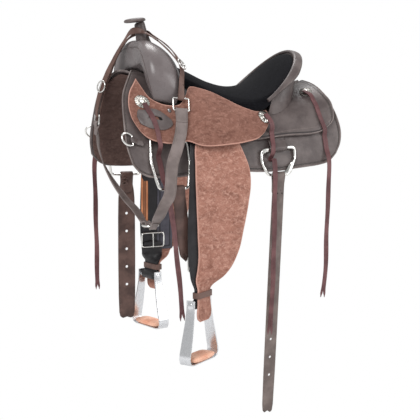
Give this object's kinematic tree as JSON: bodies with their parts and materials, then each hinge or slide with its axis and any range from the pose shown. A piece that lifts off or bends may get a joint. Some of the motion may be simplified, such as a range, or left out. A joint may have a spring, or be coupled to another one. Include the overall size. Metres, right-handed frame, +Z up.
{
  "type": "western trail saddle",
  "caption": "Western riding saddle with suede seat, swinging fenders and metal stirrups, rigging rings with hanging straps, saddle strings and a breast collar.",
  "frame": {"origin": "on the line of the horse's spine, under the seat", "axes": "+Z up, -X the way the horse faces, -Y the horse's near (left) side"},
  "size_m": [0.6672, 0.5901, 1.1249],
  "materials": {
    "smooth_leather": "smooth grained leather, half matt",
    "suede": "roughout leather, matt",
    "seat_suede": "black suede over padding, matt",
    "lining": "matt lining against the horse",
    "strap_leather": "oiled harness leather, half matt",
    "collar_leather": "smooth leather, half matt",
    "string_leather": "soft string leather",
    "tree": "dark tree bars, matt",
    "tread": "tan leather tread",
    "steel": "plated steel, bright",
    "aluminium": "brushed aluminium"
  },
  "bodies": {
    "saddle": {"breast_tab_near": "smooth_leather", "breast_tab_off": "smooth_leather", "cantle_back": "smooth_leather", "cantle_roll": "smooth_leather", "collar_buckle_near": "steel", "collar_buckle_off": "steel", "collar_loop_near": "steel", "collar_loop_off": "steel", "front_hanger_near": "smooth_leather", "front_hanger_off": "smooth_leather", "horn_cap": "smooth_leather", "horn_neck": "smooth_leather", "latigo_keeper": "smooth_leather", "lining_near": "lining", "lining_off": "lining", "rear_hanger_near": "smooth_leather", "rear_hanger_off": "smooth_leather", "rear_jockey_near": "smooth_leather", "rear_jockey_off": "smooth_leather", "rosette_near_front": "steel", "rosette_near_middle": "steel", "rosette_near_rear": "steel", "rosette_off_front": "steel", "saddle_string_near_front": "string_leather", "saddle_string_near_middle": "string_leather", "saddle_string_near_rear": "string_leather", "saddle_string_off_front": "string_leather", "seat": "seat_suede", "seat_jockey_near": "suede", "seat_jockey_off": "suede", "skirt_near": "smooth_leather", "skirt_off": "smooth_leather", "swell": "smooth_leather", "tree_bar_near": "tree", "tree_bar_off": "tree", "wither_strap": "strap_leather"},
    "fender_near": {"fender_near": "suede", "stirrup_leather_near": "strap_leather", "hobble_strap_near": "strap_leather", "stirrup_buckle_near": "steel"},
    "stirrup_near": {"stirrup_near": "aluminium", "tread_near": "tread"},
    "front_dee_near": {"front_dee_near": "steel"},
    "rear_dee_near": {"rear_dee_near": "steel"},
    "breast_dee_near": {"breast_dee_near": "steel"},
    "fender_off": {"fender_off": "suede", "stirrup_leather_off": "strap_leather", "hobble_strap_off": "strap_leather", "stirrup_buckle_off": "steel"},
    "stirrup_off": {"stirrup_off": "aluminium", "tread_off": "tread"},
    "front_dee_off": {"front_dee_off": "steel"},
    "rear_dee_off": {"rear_dee_off": "steel"},
    "breast_dee_off": {"breast_dee_off": "steel"},
    "latigo_near": {"latigo_near": "strap_leather"},
    "off_billet": {"off_billet": "strap_leather"},
    "flank_billet_near": {"flank_billet_near": "strap_leather"},
    "breast_collar": {"collar_near": "collar_leather", "collar_off": "collar_leather", "collar_ring": "steel"}
  },
  "joints": [
    {"name": "fender_swing_near", "type": "hinge", "parent": "saddle", "child": "fender_near", "pos_m": [-0.092, -0.146, 0.05], "axis": [0, 1, 0], "range_deg": [-8, 13], "deforming": ["collar_near", "saddle_string_near_front", "saddle_string_near_middle", "latigo_near"]},
    {"name": "fender_swing_off", "type": "hinge", "parent": "saddle", "child": "fender_off", "pos_m": [-0.092, 0.146, 0.05], "axis": [0, 1, 0], "range_deg": [-8, 13], "deforming": ["off_billet", "saddle_string_off_front"]},
    {"name": "stirrup_swing_near", "type": "hinge", "parent": "fender_near", "child": "stirrup_near", "pos_m": [-0.123, -0.22404, -0.502], "axis": [0.7986, 0.6018, 0], "range_deg": [-30, 30]},
    {"name": "stirrup_swing_off", "type": "hinge", "parent": "fender_off", "child": "stirrup_off", "pos_m": [-0.11098, 0.22838, -0.502], "axis": [-0.2756, 0.9613, 0], "range_deg": [-30, 30]},
    {"name": "front_dee_lift_near", "type": "hinge", "parent": "saddle", "child": "front_dee_near", "pos_m": [-0.19, -0.17091, -0.04053], "axis": [0.947, -0.1515, -0.2833], "range_deg": [-3, 0]},
    {"name": "front_dee_lift_off", "type": "hinge", "parent": "saddle", "child": "front_dee_off", "pos_m": [-0.19, 0.17091, -0.04053], "axis": [-0.947, -0.1515, 0.2833], "range_deg": [-3, 0]},
    {"name": "rear_dee_lift_near", "type": "hinge", "parent": "saddle", "child": "rear_dee_near", "pos_m": [0.129, -0.19414, -0.08218], "axis": [-0.9955, -0.0674, -0.0665], "range_deg": [0, 50], "deforming": ["saddle_string_near_rear"]},
    {"name": "rear_dee_lift_off", "type": "hinge", "parent": "saddle", "child": "rear_dee_off", "pos_m": [0.129, 0.19414, -0.08218], "axis": [0.9955, -0.0674, 0.0665], "range_deg": [0, 50]},
    {"name": "breast_dee_lift_near", "type": "hinge", "parent": "saddle", "child": "breast_dee_near", "pos_m": [-0.296, -0.17771, -0.05082], "axis": [0, 0.4156, 0.9095], "range_deg": [0, 90]},
    {"name": "breast_dee_lift_off", "type": "hinge", "parent": "saddle", "child": "breast_dee_off", "pos_m": [-0.296, 0.17771, -0.05082], "axis": [0, 0.4156, -0.9095], "range_deg": [0, 90]},
    {"name": "latigo_swing_near", "type": "hinge", "parent": "front_dee_near", "child": "latigo_near", "pos_m": [-0.18, -0.21544, -0.182], "axis": [-0.9917, -0.1289, 0], "range_deg": [-15, 60]},
    {"name": "off_billet_swing", "type": "hinge", "parent": "front_dee_off", "child": "off_billet", "pos_m": [-0.188, 0.21648, -0.182], "axis": [0.9917, -0.1289, 0], "range_deg": [-15, 60]},
    {"name": "flank_billet_swing_near", "type": "hinge", "parent": "rear_dee_near", "child": "flank_billet_near", "pos_m": [0.124, -0.2065, -0.157], "axis": [-0.999, -0.0455, 0], "range_deg": [-15, 60], "deforming": ["flank_billet_near"]},
    {"name": "collar_swing", "type": "hinge", "parent": "saddle", "child": "breast_collar", "pos_m": [-0.24, -0.05298, 0.00552], "axis": [-0.4795, 0.8666, -0.1384], "range_deg": [0, 45], "deforming": ["collar_off"]}
  ]
}
